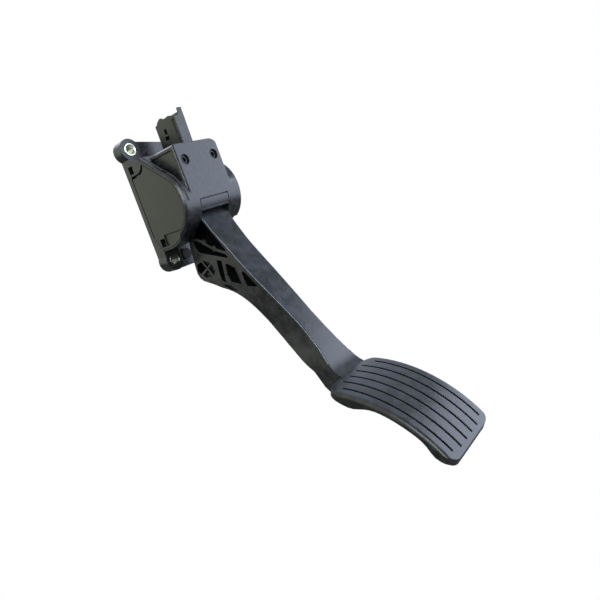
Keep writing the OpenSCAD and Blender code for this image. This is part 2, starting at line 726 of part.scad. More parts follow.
// Plan of the pad, inset by d, as a prism square to the middle of its crown
module pad_plan(d) {
    w = pad_w / 2 - d;
    l = pad_len / 2 - d;
    top_r = 9 - d;
    end_r = 13 - d;
    translate([0, pad_c[0], pad_c[1]]) rotate([pad_mid, 0, 0]) translate([0, 0, pad_r - 45])
        linear_extrude(60) union() {
            translate([-w, -l + top_r]) square([2 * w, 2 * l - top_r - end_r]);
            translate([-w + top_r, -l]) square([2 * w - 2 * top_r, l]);
            translate([-w + end_r, 0]) square([2 * w - 2 * end_r, l]);
            for (s = [-1, 1]) {
                translate([s * (w - top_r), -l + top_r]) circle(top_r);
                translate([s * (w - end_r), l - end_r]) circle(end_r);
            }
        }
}

// Ring about the crown's centre, from depth d to the tread face, its long edges rounded off
module crown_ring(d) {
    w = pad_w / 2;
    r = edge_r;
    side = [[r, 0], [0.5 * r, 0.13 * r], [0.13 * r, 0.5 * r], [0, r]];
    translate([0, pad_c[0], pad_c[1]]) rotate([0, 90, 0]) rotate_extrude($fn = 180) polygon(concat(
        [[pad_r - d, w]], [for (p = side) [pad_r - p[0], w - p[1]]],
        [for (k = [3:-1:0]) [pad_r - side[k][0], side[k][1] - w]], [[pad_r - d, -w]]));
}

// Curved tread plate with its skirt, slots and under-ribs
module pad() {
    translate([-pad_x, 0, 0]) difference() {
        union() {
            intersection() {
                crown_ring(pad_t);
                pad_plan(0);
            }
            intersection() {
                across(-pad_w / 2, pad_w / 2) skirt_side();
                difference() {
                    pad_plan(0);
                    pad_plan(rib_t);
                }
            }
            intersection() {
                for (a = [24:9:51]) across(-pad_w / 2 + 5, pad_w / 2 - 5) translate(pad_c) rotate(a)
                    translate([-0.8, pad_r - tread_rib]) square([1.6, tread_rib - 1.5]);
                pad_plan(1);
            }
        }
        for (i = [0:slots - 1]) {
            x = (i - (slots - 1) / 2) * slot_pitch;
            short = i == 0 || i == slots - 1 ? 1 : 0;
            across(x - slot_cut / 2, x + slot_cut / 2) translate(pad_c)
                sector(pad_r - pad_t - 0.4, pad_r + 1, 92.6 + pad_arc[0] + 3.1 * short,
                    88.2 + pad_arc[1] - 1.4 * short);
        }
    }
}

// Side view of the skirt
module skirt_side() {
    n = 26;
    span = [for (i = [0:n]) pad_arc[0] - 4 + (pad_arc[1] - pad_arc[0] + 8) * i / n];
    polygon(concat([for (a = span) pad_c + (pad_r - edge_r - 0.2) * [-sin(a), cos(a)]],
        [for (i = [n:-1:0]) pad_c + (pad_r - skirt_at(span[i])) * [-sin(span[i]), cos(span[i])]]));
}

// Arm, hub, spring nose, heel boss and tread pad, moulded in one
module pedal_arm() {
    color(nylon) at_pivot() difference() {
        union() {
            bar_x(hub_r, -hub_half, hub_half);
            arm_beam();
            pad();
            // nose that the return springs stand on
            across(-spring_x - lever_half - 1, -spring_x + lever_half + 1)
                polygon([[0, 12], [spring_y - 7, seat_z], [spring_y + 6.2, seat_z],
                    [spring_y + 6.2, idle_z], [spring_y - 0.6, idle_z], [12, -6], [0, -10]]);
            translate([-spring_x, spring_y, seat_z - 1])
                cylinder(r = spring_b[1] / 2 - spring_b[0] - 0.25, h = 4);
            // stop boss on the heel, square to its buffer at full travel
            rotate([-travel, 0, 0]) translate([-buffer_x, 0, -buffer_z])
                bar_y(buffer_r + 0.2, 14, buffer_y - 0.1);
        }
        // bush seats, sunk where the arm's sides stand wider than the hub
        for (s = [0, 1]) mirror([s, 0, 0]) {
            bar_x(bush_r, hub_half - bush_l, hub_half + 1);
            bar_x(bush_r + bush_rim + 0.3, hub_half, slot_half);
        }
        bar_x(pin_r + 0.6, -hub_half, hub_half);
    }
}

// Holder moulded round the magnet, fixed on the hub's front
module magnet_holder() {
    color(nylon_dark) at_pivot() across(4.6, 12.4) difference() {
        sector(hub_r, hub_r + 2.4, 120, 165);
        sector(hub_r + 1, hub_r + 3, 128, 157);
    }
}

// Magnet that the sensor chip reads
module magnet() {
    color("#5b5f66") at_pivot() across(5.4, 11.6) sector(hub_r + 1, hub_r + magnet_t, 128.2, 156.8);
}

// Friction lever: the springs push its rear up and its lining down on the hub
module friction_lever() {
    color(nylon_dark) at_pivot() difference() {
        union() {
            across(-spring_x - lever_half, -spring_x + lever_half) union() {
                sector(hub_r + 2.5, hub_r + 6, 68, 118);
                polygon([[-5.4, hub_r + 4], [lever_y - 4, lever_z + 2.6], [lever_y, lever_z + 4.4],
                    [lever_y + 4.4, lever_z], [6.4, hub_r + 3]]);
                polygon([[lever_y, lever_z + 4.4], [lever_y + 4, lever_seat_z + 2.6],
                    [spring_y, lever_seat_z + 2.6], [spring_y, lever_seat_z], [lever_y + 5, lever_seat_z],
                    [lever_y + 3, lever_z - 1]]);
                translate([lever_y, lever_z]) circle(lever_pin_r + 2);
            }
            across(-spring_x - lever_half - 1, -spring_x + lever_half + 1)
                translate([spring_y - 6.2, lever_seat_z]) square([12.4, 2.6]);
            translate([-spring_x, spring_y, lever_seat_z - 3])
                cylinder(r = spring_b[1] / 2 - spring_b[0] - 0.25, h = 4);
        }
        translate([0, lever_y, lever_z]) bar_x(lever_pin_r + run_fit, -20, 5);
    }
}

// Friction lining bonded to the lever
module friction_lining() {
    color("#6b5a3c") at_pivot() across(-spring_x - lever_half, -spring_x + lever_half)
        sector(hub_r + 0.06, hub_r + 2.5, 70, 116);
}

// Steel pin that the lever rocks on
module lever_pin() {
    color(steel) at_pivot() translate([0, lever_y, lever_z])
        bar_x(lever_pin_r, -slot_half - 1.5, -plug_rib + 1.6);
}

// Coil of round wire standing on z0, as a swept ring of points
module coil(w, d, z0, z1, turns) {
    m = 6;
    n = turns * 14;
    rc = (d - w) / 2;
    h = z1 - z0 - w;
    function rise(t) = z0 + w / 2 + h * min(1, max(0, (t * turns - 0.6) / (turns - 1.2)));
    pts = [for (i = [0:n]) let (t = i / n, a = 360 * turns * t) for (j = [0:m - 1]) let (b = 360 * j / m)
        [(rc + w / 2 * cos(b)) * cos(a), (rc + w / 2 * cos(b)) * sin(a), rise(t) + w / 2 * sin(b)]];
    sides = [for (i = [0:n - 1]) for (j = [0:m - 1]) let (k = (j + 1) % m)
        [i * m + j, i * m + k, (i + 1) * m + k, (i + 1) * m + j]];
    polyhedron(pts, concat([[for (j = [m - 1:-1:0]) j]], sides, [[for (j = [0:m - 1]) n * m + j]]));
}

module return_spring_outer() {
    color(spring_steel) at_pivot() translate([-spring_x, spring_y, 0])
        coil(spring_a[0], spring_a[1], seat_z, lever_seat_z, 6);
}

module return_spring_inner() {
    color(spring_steel) at_pivot() translate([-spring_x, spring_y, 0]) mirror([0, 1, 0])
        coil(spring_b[0], spring_b[1], seat_z, lever_seat_z, 8);
}

// Rubber buffer under the spring nose, at the rest stop
module idle_buffer() {
    color(rubber) at_pivot() translate([-spring_x, spring_y + 2.6, idle_z - buffer_h])
        cylinder(r = 2.6, h = buffer_h - 0.05);
}

// Rubber buffer on the back wall, at full travel
module full_buffer() {
    color(rubber) at_pivot() translate([-buffer_x, 0, -buffer_z]) bar_y(buffer_r, buffer_y, flange_y);
}

housing();
cheek_cover();
end_cap();
slot_cover();
connector_body();
connector_seal();
terminals();
sensor_board();
sensor_chip();
front_screw_left();
front_screw_right();
sleeve_upper();
sleeve_lower();
sleeve_right();
pivot_pin();
bush_left();
bush_right();
pedal_arm();
magnet_holder();
magnet();
friction_lever();
friction_lining();
lever_pin();
return_spring_outer();
return_spring_inner();
idle_buffer();
full_buffer();
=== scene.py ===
# Electronic accelerator pedal: a hanging moulded arm with a slotted tread, carried by a
# drum-shaped housing that is bolted to the toe board.
import math
import bpy
import bmesh
from mathutils import Matrix, Quaternion, Vector
from mathutils.bvhtree import BVHTree


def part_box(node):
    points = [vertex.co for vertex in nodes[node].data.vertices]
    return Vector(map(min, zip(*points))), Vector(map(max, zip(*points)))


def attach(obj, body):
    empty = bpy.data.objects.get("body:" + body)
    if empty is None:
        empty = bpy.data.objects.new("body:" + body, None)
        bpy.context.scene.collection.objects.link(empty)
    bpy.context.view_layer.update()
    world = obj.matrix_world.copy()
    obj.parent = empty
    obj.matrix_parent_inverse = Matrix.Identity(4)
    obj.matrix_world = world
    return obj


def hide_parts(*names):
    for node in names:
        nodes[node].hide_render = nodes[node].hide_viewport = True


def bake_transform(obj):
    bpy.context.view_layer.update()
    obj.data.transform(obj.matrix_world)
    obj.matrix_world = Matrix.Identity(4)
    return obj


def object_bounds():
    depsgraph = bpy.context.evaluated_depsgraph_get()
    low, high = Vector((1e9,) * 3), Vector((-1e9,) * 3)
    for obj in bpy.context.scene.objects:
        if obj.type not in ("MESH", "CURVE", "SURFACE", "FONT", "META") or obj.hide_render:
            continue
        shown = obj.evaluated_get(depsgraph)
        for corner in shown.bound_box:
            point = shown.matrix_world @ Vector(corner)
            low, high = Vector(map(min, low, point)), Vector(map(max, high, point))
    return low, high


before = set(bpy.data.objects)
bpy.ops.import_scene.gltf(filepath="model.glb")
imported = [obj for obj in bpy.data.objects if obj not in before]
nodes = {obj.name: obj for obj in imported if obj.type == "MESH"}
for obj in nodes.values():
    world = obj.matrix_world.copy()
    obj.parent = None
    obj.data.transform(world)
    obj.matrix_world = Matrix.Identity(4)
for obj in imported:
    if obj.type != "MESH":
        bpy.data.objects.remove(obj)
cad_box = [list(corner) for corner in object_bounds()]

# The camera stands low at the left of the pedal, tipped a little to its right, and looks
# slightly down at the arm from about half a metre away.
scene = bpy.context.scene
camera_azimuth = math.radians(-46.33)
camera_elevation = math.radians(10.46)
camera_roll = math.radians(-18.61)
camera_back = Vector((math.sin(camera_azimuth) * math.cos(camera_elevation),
                      -math.cos(camera_azimuth) * math.cos(camera_elevation),
                      math.sin(camera_elevation)))
camera_data = bpy.data.cameras.new("camera")
camera_data.sensor_width = 36
camera_data.lens = 31.07
camera_data.clip_start = 0.01
camera_data.clip_end = 20
camera = bpy.data.objects.new("camera", camera_data)
scene.collection.objects.link(camera)
camera.location = (-0.24506, -0.36589, -0.07708)
camera.rotation_mode = "QUATERNION"
camera.rotation_quaternion = ((-camera_back).to_track_quat("-Z", "Y")
                              @ Quaternion((0, 0, 1), camera_roll))
bpy.context.scene.camera = camera
bpy.context.scene.view_settings.view_transform = "Standard"


# Surroundings of the studio: plain white to the camera. What lights the object is a soft
# tent that is pale behind it, weaker in front and overhead, dark below, and a little
# warmer on the left than on the right.
def graded(tree, value, low, high, at_low=0.0, at_high=1.0, curve="LINEAR"):
    grade = tree.nodes.new("ShaderNodeMapRange")
    grade.interpolation_type = curve
    grade.inputs["From Min"].default_value = low
    grade.inputs["From Max"].default_value = high
    grade.inputs["To Min"].default_value = at_low
    grade.inputs["To Max"].default_value = at_high
    tree.links.new(value, grade.inputs["Value"])
    return grade.outputs["Result"]


def tinted(tree, share, base, tint):
    mix = tree.nodes.new("ShaderNodeMix")
    mix.data_type = "RGBA"
    tree.links.new(share, mix.inputs["Factor"])
    for side, colour in (("A", base), ("B", tint)):
        if isinstance(colour, bpy.types.NodeSocket):
            tree.links.new(colour, mix.inputs[side])
        else:
            mix.inputs[side].default_value = (*colour, 1)
    return mix.outputs["Result"]


def for_camera(tree, lighting, seen, out):
    path = tree.nodes.new("ShaderNodeLightPath")
    mix = tree.nodes.new("ShaderNodeMixShader")
    tree.links.new(path.outputs["Is Camera Ray"], mix.inputs["Fac"])
    tree.links.new(lighting.outputs[0], mix.inputs[1])
    tree.links.new(seen.outputs[0], mix.inputs[2])
    tree.links.new(mix.outputs["Shader"], out.inputs["Surface"])


white = (1, 1, 1, 1)
world = bpy.data.worlds.new("studio")
scene.world = world
world.use_nodes = True
tree = world.node_tree
tree.nodes.clear()
direction = tree.nodes.new("ShaderNodeTexCoord")
towards = tree.nodes.new("ShaderNodeSeparateXYZ")
tree.links.new(direction.outputs["Generated"], towards.inputs["Vector"])
level = None
for axis, low, high, at_low, at_high in (("Z", -0.55, -0.05, 0.12, 1.0),
                                         ("Z", 0.25, 0.75, 1.0, 0.85),
                                         ("Y", -0.6, 0.3, 0.46, 1.0)):
    share = graded(tree, towards.outputs[axis], low, high, at_low, at_high, "SMOOTHSTEP")
    if level is None:
        level = share
    else:
        product = tree.nodes.new("ShaderNodeMath")
        product.operation = "MULTIPLY"
        tree.links.new(level, product.inputs[0])
        tree.links.new(share, product.inputs[1])
        level = product.outputs["Value"]
rightward = graded(tree, towards.outputs["X"], low=-0.5, high=0.3)
warmth = tinted(tree, rightward, base=(1.08, 1.12, 0.93), tint=(0.98, 1.12, 1.38))
tent = tree.nodes.new("ShaderNodeBackground")
tree.links.new(level, tent.inputs["Strength"])
tree.links.new(warmth, tent.inputs["Color"])
seen = tree.nodes.new("ShaderNodeBackground")
seen.inputs["Color"].default_value = white
seen.inputs["Strength"].default_value = 1.0
for_camera(tree, tent, seen, tree.nodes.new("ShaderNodeOutputWorld"))

# The floor is a wide sheet of pale paper well below the hanging pedal. The camera sees it
# white, and it throws only a little light back up.
floor_depth, floor_half = 0.55, 6.0
bm = bmesh.new()
bmesh.ops.create_grid(bm, x_segments=1, y_segments=1, size=floor_half,
                      matrix=Matrix.Translation((0, 0, cad_box[0][2] - floor_depth)))
floor_mesh = bpy.data.meshes.new("floor")
bm.to_mesh(floor_mesh)
bm.free()
floor = bpy.data.objects.new("floor", floor_mesh)
scene.collection.objects.link(floor)
paper = bpy.data.materials.new("floor_paper")
paper.use_nodes = True
tree = paper.node_tree
tree.nodes.clear()
matt = tree.nodes.new("ShaderNodeBsdfDiffuse")
matt.inputs["Color"].default_value = (0.16, 0.155, 0.14, 1)
glow = tree.nodes.new("ShaderNodeEmission")
glow.inputs["Color"].default_value = white
glow.inputs["Strength"].default_value = 1.0
for_camera(tree, matt, glow, tree.nodes.new("ShaderNodeOutputMaterial"))
floor_mesh.materials.append(paper)

# Soft studio lamps: a wide cool one at the front right, level with the housing, which the
# front faces mirror, a tall narrow one behind the camera that draws the edges, and one
# behind the object for the rims.
for name, place, aim, size, power, colour in (
        ("lamp_front", (0.92, -0.88, -0.05), (0.02, -0.08, -0.04), (1.5, 1.10), 21.4,
         (0.74, 0.83, 1.0)),
        ("lamp_edge", (-0.80, -0.72, 0.28), (0.02, -0.1, -0.10), (0.24, 0.90), 9,
         (0.86, 0.93, 1.0)),
        ("lamp_back", (0.3, 0.9, 0.9), (0.02, -0.05, -0.05), (0.6, 0.6), 3.0,
         (0.95, 1.0, 0.97))):
    lamp_data = bpy.data.lights.new(name, "AREA")
    lamp_data.shape = "RECTANGLE"
    lamp_data.size, lamp_data.size_y = size
    lamp_data.energy = power
    lamp_data.color = colour
    lamp = bpy.data.objects.new(name, lamp_data)
    scene.collection.objects.link(lamp)
    lamp.visible_camera = False
    lamp.location = place
    lamp.rotation_mode = "QUATERNION"
    lamp.rotation_quaternion = (Vector(aim) - Vector(place)).to_track_quat("-Z", "Y")


# The housing is one large injection moulding in black glass-filled nylon, bolted to the toe
# board through its three ears. The spark-eroded tool leaves a fine grain, and the flow of
# the melt makes faint clouds and sink marks.
def moulding_grain():
    group = bpy.data.node_groups.new("moulding_grain", "ShaderNodeTree")
    for name, scale in (("Grain Size", 2600.0), ("Clouds", 150.0)):
        socket = group.interface.new_socket(name, in_out="INPUT", socket_type="NodeSocketFloat")
        socket.default_value = scale
    for name in ("Grain", "Cloud", "Speck"):
        group.interface.new_socket(name, in_out="OUTPUT", socket_type="NodeSocketFloat")
    entry = group.nodes.new("NodeGroupInput")
    leave = group.nodes.new("NodeGroupOutput")
    place = group.nodes.new("ShaderNodeTexCoord")
    grain = group.nodes.new("ShaderNodeTexNoise")
    grain.inputs["Detail"].default_value = 2.0
    cloud = group.nodes.new("ShaderNodeTexNoise")
    cloud.inputs["Detail"].default_value = 5.0
    cloud.inputs["Roughness"].default_value = 0.62
    cloud.inputs["Distortion"].default_value = 0.6
    speck = group.nodes.new("ShaderNodeTexVoronoi")
    speck.inputs["Scale"].default_value = 330.0
    most_cells = 0.965
    rare = group.nodes.new("ShaderNodeMath")
    rare.operation = "GREATER_THAN"
    rare.inputs[1].default_value = most_cells
    dusty = group.nodes.new("ShaderNodeMath")
    dusty.operation = "MULTIPLY"
    link = group.links.new
    for texture in (grain, cloud, speck):
        link(place.outputs["Object"], texture.inputs["Vector"])
    link(entry.outputs["Grain Size"], grain.inputs["Scale"])
    link(entry.outputs["Clouds"], cloud.inputs["Scale"])
    link(speck.outputs["Color"], rare.inputs[0])
    dot = graded(group, speck.outputs["Distance"], low=0.05, high=0.11, at_low=1.0, at_high=0.0)
    link(dot, dusty.inputs[0])
    link(rare.outputs["Value"], dusty.inputs[1])
    link(grain.outputs["Fac"], leave.inputs["Grain"])
    link(cloud.outputs["Fac"], leave.inputs["Cloud"])
    link(dusty.outputs["Value"], leave.inputs["Speck"])
    return group


# Moulded corners are never sharp: this gives the normal of their small radius, and a mask of the
# corners and creases, where a paler colour is painted on as a painted highlight.
def rounded_corners():
    group = bpy.data.node_groups.new("rounded_corners", "ShaderNodeTree")
    face = group.interface
    radius = face.new_socket("Radius", in_out="INPUT", socket_type="NodeSocketFloat")
    radius.default_value = 0.0007
    face.new_socket("Normal", in_out="OUTPUT", socket_type="NodeSocketVector")
    face.new_socket("Corner", in_out="OUTPUT", socket_type="NodeSocketFloat")
    entry = group.nodes.new("NodeGroupInput")
    leave = group.nodes.new("NodeGroupOutput")
    bevel = group.nodes.new("ShaderNodeBevel")
    bevel.samples = 6
    flat = group.nodes.new("ShaderNodeNewGeometry")
    turn = group.nodes.new("ShaderNodeVectorMath")
    turn.operation = "DOT_PRODUCT"
    link = group.links.new
    link(entry.outputs["Radius"], bevel.inputs["Radius"])
    link(bevel.outputs["Normal"], turn.inputs[0])
    link(flat.outputs["Normal"], turn.inputs[1])
    link(bevel.outputs["Normal"], leave.inputs["Normal"])
    link(graded(group, turn.outputs["Value"], low=0.995, high=0.80), leave.inputs["Corner"])
    return group


grain_group = moulding_grain()
corner_group = rounded_corners()


def moulded_plastic(name, dark, pale, rough, corner_highlight, grain=0.12, radius=0.0007,
                    clouds=150.0, swell=5.0, glaze=0.0, gloss=0.5):
    dust_colour = (0.30, 0.31, 0.33)
    material = bpy.data.materials.new(name)
    material.use_nodes = True
    tree = material.node_tree
    link = tree.links.new
    plastic = tree.nodes["Principled BSDF"]
    plastic.inputs["IOR"].default_value = 1.53
    plastic.inputs["Specular IOR Level"].default_value = gloss
    plastic.inputs["Coat Roughness"].default_value = 0.30
    texture = tree.nodes.new("ShaderNodeGroup")
    texture.node_tree = grain_group
    texture.inputs["Clouds"].default_value = clouds
    corners = tree.nodes.new("ShaderNodeGroup")
    corners.node_tree = corner_group
    corners.inputs["Radius"].default_value = radius
    cloud = texture.outputs["Cloud"]
    skin = tinted(tree, graded(tree, cloud, low=0.42, high=0.75), dark, pale)
    # Painted highlight: corners and creases take the paler corner colour.
    skin = tinted(tree, corners.outputs["Corner"], skin, corner_highlight)
    skin = tinted(tree, texture.outputs["Speck"], skin, dust_colour)
    shine = graded(tree, cloud, low=0.44, high=0.62, at_high=glaze)
    sheen = graded(tree, cloud, low=0.3, high=0.7, at_low=rough - 0.07, at_high=rough + 0.10)
    relief = tree.nodes.new("ShaderNodeMath")
    relief.operation = "MULTIPLY_ADD"
    relief.inputs[1].default_value = swell
    bump = tree.nodes.new("ShaderNodeBump")
    bump.inputs["Strength"].default_value = grain
    bump.inputs["Distance"].default_value = 0.00012
    link(cloud, relief.inputs[0])
    link(texture.outputs["Grain"], relief.inputs[2])
    link(relief.outputs["Value"], bump.inputs["Height"])
    link(corners.outputs["Normal"], bump.inputs["Normal"])
    link(skin, plastic.inputs["Base Color"])
    link(shine, plastic.inputs["Coat Weight"])
    link(sheen, plastic.inputs["Roughness"])
    link(bump.outputs["Normal"], plastic.inputs["Normal"])
    return material


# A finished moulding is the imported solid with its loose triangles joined: flats and curves
# run into each other without steps, and only real corners stay crisp.
weld_distance = 2e-6
crisp_angle = math.radians(32)


def moulded_copy(name):
    bm = bmesh.new()
    bm.from_mesh(nodes[name].data)
    bmesh.ops.remove_doubles(bm, verts=bm.verts, dist=weld_distance)
    return bm


def piece_of(bm, name, finish, body, *materials):
    mesh = bpy.data.meshes.new(name + "_" + finish)
    bm.to_mesh(mesh)
    bm.free()
    if "custom_normal" in mesh.attributes:
        mesh.attributes.remove(mesh.attributes["custom_normal"])
    mesh.polygons.foreach_set("use_smooth", [True] * len(mesh.polygons))
    mesh.set_sharp_from_angle(angle=crisp_angle)
    for material in materials:
        mesh.materials.append(material)
    piece = bpy.data.objects.new(name + "_" + finish, mesh)
    scene.collection.objects.link(piece)
    even = piece.modifiers.new("even_flats", "WEIGHTED_NORMAL")
    even.keep_sharp = True
    even.weight = 80
    if body:
        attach(piece, body)
    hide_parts(name)
    return piece


# The walls of the seam that the cheek cover sits in are made matt and painted near black:
# painted shade, as hardly any light reaches them.
nylon = moulded_plastic("black_nylon", dark=(0.006, 0.006, 0.0065), pale=(0.023, 0.024, 0.028),
                        rough=0.33, corner_highlight=(0.05, 0.055, 0.065), radius=0.0006,
                        clouds=300.0, swell=3.5, glaze=0.13, gloss=0.46)
seam_shade_paint = moulded_plastic("seam_shade_paint", dark=(0.0012, 0.0012, 0.0012),
                             pale=(0.002, 0.002, 0.002), rough=0.8,
                             corner_highlight=(0.002, 0.002, 0.002), radius=0.0001, gloss=0.12)
cheek_low, cheek_high = (Vector(corner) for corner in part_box("cheek_cover"))
cheek_middle = (cheek_low + cheek_high) / 2
seam_room = Vector((0.0008, 0.0012, 0.0012))
wall_turn = 0.3
# The housing's faces on the seam walls around the cheek cover get the painted shade.
bm = moulded_copy("housing")
bm.normal_update()
for face in bm.faces:
    centre = face.calc_center_median()
    inside = all(low - room < at < high + room
                 for low, high, at, room in zip(cheek_low, cheek_high, centre, seam_room))
    inward = face.normal.dot(cheek_middle - centre) > 0
    if inside and inward and abs(face.normal.x) < wall_turn:
        face.material_index = 1
piece_of(bm, "housing", "moulding", "carrier", nylon, seam_shade_paint)


# Steel sleeves pressed into the ears take the clamping load of the bolts. They are cut from
# zinc-plated tube, and both mouths are chamfered inside and out. The lower one lies in shade
# under the drum, and it is painted dark as painted shade.
def worked_metal(name, colour, rough, scratch_scale, stretched):
    material = bpy.data.materials.new(name)
    material.use_nodes = True
    tree = material.node_tree
    link = tree.links.new
    metal = tree.nodes["Principled BSDF"]
    metal.inputs["Metallic"].default_value = 1.0
    place = tree.nodes.new("ShaderNodeTexCoord")
    stretch = tree.nodes.new("ShaderNodeMapping")
    stretch.inputs["Scale"].default_value = stretched
    noise = tree.nodes.new("ShaderNodeTexNoise")
    noise.inputs["Scale"].default_value = scratch_scale
    noise.inputs["Detail"].default_value = 4.0
    scratches = noise.outputs["Fac"]
    scratch_colour = [channel * 0.8 for channel in colour]
    tone = tinted(tree, scratches, scratch_colour, colour)
    sheen = graded(tree, scratches, low=0, high=1, at_low=rough - 0.08, at_high=rough + 0.1)
    link(place.outputs["Object"], stretch.inputs["Vector"])
    link(stretch.outputs["Vector"], noise.inputs["Vector"])
    link(tone, metal.inputs["Base Color"])
    link(sheen, metal.inputs["Roughness"])
    return material


# A spun shape can come out inside out, so its faces are turned to point outwards.
def faced_outwards(bm):
    bmesh.ops.recalc_face_normals(bm, faces=bm.faces)
    if bm.calc_volume(signed=True) < 0:
        bmesh.ops.reverse_faces(bm, faces=bm.faces)


zinc = worked_metal("zinc_plated_steel", colour=(0.70, 0.73, 0.61), rough=0.27,
                    scratch_scale=900.0, stretched=(1, 0.1, 1))
zinc_painted_shade = worked_metal("zinc_with_painted_shade", colour=(0.13, 0.135, 0.12), rough=0.32,
                         scratch_scale=700.0, stretched=(1, 0.3, 1))
bore, mouth_chamfer, rim_chamfer, turned_steps = 0.0035, 0.0005, 0.0003, 64
for name, plating in (("sleeve_upper", zinc), ("sleeve_lower", zinc_painted_shade),
                      ("sleeve_right", zinc)):
    low, high = (Vector(corner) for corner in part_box(name))
    centre = (low + high) / 2
    outer = (high.x - low.x) / 2
    section = [(bore + mouth_chamfer, low.y), (outer - rim_chamfer, low.y),
               (outer, low.y + rim_chamfer), (outer, high.y - rim_chamfer),
               (outer - rim_chamfer, high.y), (bore + mouth_chamfer, high.y),
               (bore, high.y - mouth_chamfer), (bore, low.y + mouth_chamfer)]
    bm = bmesh.new()
    corners = [bm.verts.new((centre.x + radius, y, centre.z)) for radius, y in section]
    sides = [bm.edges.new((corners[i - 1], corners[i])) for i in range(len(corners))]
    bmesh.ops.spin(bm, geom=corners + sides, cent=centre, axis=(0, 1, 0), angle=math.tau,
                   steps=turned_steps, use_merge=True)
    faced_outwards(bm)
    piece_of(bm, name, "turned", "carrier", plating)


# The ground steel pin that the arm swings on is held in the housing's walls. The two
# flanged bushes of bearing bronze are pressed into the arm's hub.
def finish_in(material, *names):
    for name in names:
        mesh = nodes[name].data
        mesh.materials.clear()
        mesh.materials.append(material)


bronze = worked_metal("bearing_bronze", colour=(0.80, 0.58, 0.30), rough=0.30,
                      scratch_scale=1200.0, stretched=(1, 1, 0.2))
finish_in(zinc, "pivot_pin")
finish_in(bronze, "bush_left", "bush_right")


# Two return springs of patented wire, one inside the other, close the arm against its
# idle stop. They are coiled cold, their end turns are closed and ground flat, and they
# stand on the arm's nose and push up on the friction lever.
def closed(bm):
    bmesh.ops.holes_fill(bm, edges=[edge for edge in bm.edges if edge.is_boundary])


wire = worked_metal("spring_wire", colour=(0.42, 0.43, 0.45), rough=0.30,
                    scratch_scale=1200.0, stretched=(1, 1, 1))
turn_steps, wire_sides, end_turns, cut_slack = 28, 10, 1, 1e-6
for name, thick, turns, hand in (("return_spring_outer", 0.0018, 6, 1),
                                 ("return_spring_inner", 0.0012, 8, -1)):
    low, high = (Vector(corner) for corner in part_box(name))
    centre = (low + high) / 2
    coil_radius = (high.x - low.x - thick) / 2
    open_turns = turns - 2 * end_turns
    open_rise = (high.z - low.z - 2 * thick) / open_turns
    bm = bmesh.new()
    ring = bmesh.ops.create_circle(bm, segments=wire_sides, radius=thick / 2)["verts"]
    bmesh.ops.rotate(bm, verts=ring, cent=(0, 0, 0),
                     matrix=Matrix.Rotation(math.radians(90), 3, "X"))
    bmesh.ops.translate(bm, verts=ring, vec=(centre.x + coil_radius, centre.y, low.z))
    drawn = bm.verts[:] + bm.edges[:]
    for share, rise in ((end_turns, thick), (open_turns, open_rise), (end_turns, thick)):
        drawn = bmesh.ops.spin(bm, geom=drawn, cent=(centre.x, centre.y, 0), axis=(0, 0, 1),
                               dvec=(0, 0, rise / turn_steps), angle=hand * math.tau * share,
                               steps=turn_steps * share)["geom_last"]
    closed(bm)
    for height, up in ((low.z, -1), (high.z, 1)):
        bmesh.ops.bisect_plane(bm, geom=bm.verts[:] + bm.edges[:] + bm.faces[:], dist=cut_slack,
                               plane_co=(0, 0, height), plane_no=(0, 0, up), clear_outer=True)
    closed(bm)
    faced_outwards(bm)
    spring = piece_of(bm, name, "coiled", None, wire)
    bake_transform(spring)

# The friction lever under the springs presses its lining on the hub and gives the pedal
# its feel. The lever is moulded, its pin is steel and the lining is bonded fibre.
cover_nylon = moulded_plastic("cover_nylon", dark=(0.006, 0.0065, 0.0055),
                              pale=(0.022, 0.023, 0.019), rough=0.38,
                              corner_highlight=(0.04, 0.042, 0.042), radius=0.0004)
lining = moulded_plastic("friction_lining", dark=(0.16, 0.12, 0.07), pale=(0.28, 0.22, 0.14),
                         rough=0.7, corner_highlight=(0.3, 0.25, 0.16))
finish_in(cover_nylon, "friction_lever")
finish_in(zinc, "lever_pin")
finish_in(lining, "friction_lining")

# Rubber buffers soften both stops: one over the arm's nose at idle, one under its heel at
# full travel. They are pressed into seats in the housing.
rubber = moulded_plastic("rubber", dark=(0.012, 0.012, 0.012), pale=(0.02, 0.02, 0.02),
                         rough=0.7, corner_highlight=(0.03, 0.03, 0.03))
finish_in(rubber, "idle_buffer", "full_buffer")

# The arm, its truss ribs and the slotted tread are one moulding in the same nylon as the
# housing. The long front corners are rounded where shoes and hands slide over them, and a pale
# painted highlight runs along the middle of each rounding. The pockets between the ribs are matt
# and painted near black as painted shade.
pivot = Vector((0.0248, -0.0323, -0.0504))
crown_centre = Vector((0, pivot.y - 0.100, pivot.z - 0.2528))
crown_radius, crown_slack = 0.102, 0.00008
flank_turn, front_turn, square_turn = 0.8, 0.25, 0.9


def on_crown(points, normal):
    spokes = [Vector((0, point.y, point.z)) - crown_centre for point in points]
    return all(abs(spoke.length - crown_radius) < crown_slack
               and spoke.normalized().dot(normal) > square_turn for spoke in spokes)


bm = moulded_copy("pedal_arm")
bm.normal_update()
tread = {face for face in bm.faces if on_crown([vert.co for vert in face.verts], face.normal)}
within = [edge for edge in bm.edges if tread.issuperset(edge.link_faces)]
bmesh.ops.beautify_fill(bm, faces=list(tread), edges=within, method="ANGLE")

